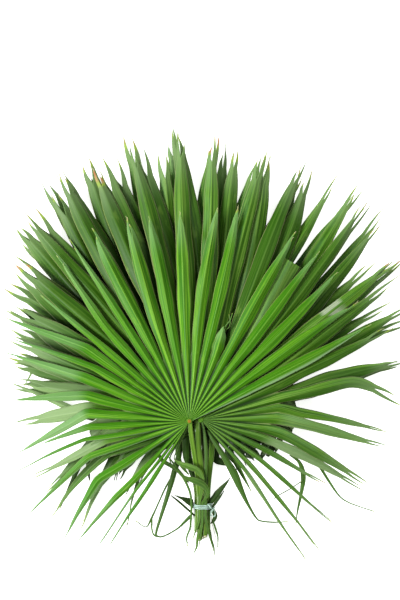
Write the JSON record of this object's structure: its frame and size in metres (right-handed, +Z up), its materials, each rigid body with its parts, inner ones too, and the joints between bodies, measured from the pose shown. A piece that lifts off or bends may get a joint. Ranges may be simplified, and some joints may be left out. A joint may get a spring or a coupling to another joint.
{
  "type": "tied bunch of fan palm leaves",
  "caption": "Bunch of fan palm leaves stacked flat and tied at the leaf stems with twine, lying face up: pleated round fans cut into long split-tipped segments.",
  "frame": {"origin": "middle of the flat spot under the hub of the lowest leaf, on the table", "axes": "+Z up out of the table, +Y from the leaf stems towards the longest segments, +X to the right as the bunch is seen from above"},
  "size_m": [0.604, 0.6285, 0.0663],
  "materials": {
    "top_leaf_green": "satin",
    "leaf_green": "satin",
    "strip_green": "satin",
    "twine_mint": "gloss"
  },
  "bodies": {
    "root": {"leaf_top": "top_leaf_green", "leaf_second": "leaf_green", "leaf_third": "leaf_green", "leaf_fourth": "leaf_green", "leaf_lowest": "leaf_green", "strip_right": "strip_green", "strip_left": "strip_green", "tie": "twine_mint"}
  },
  "joints": []
}
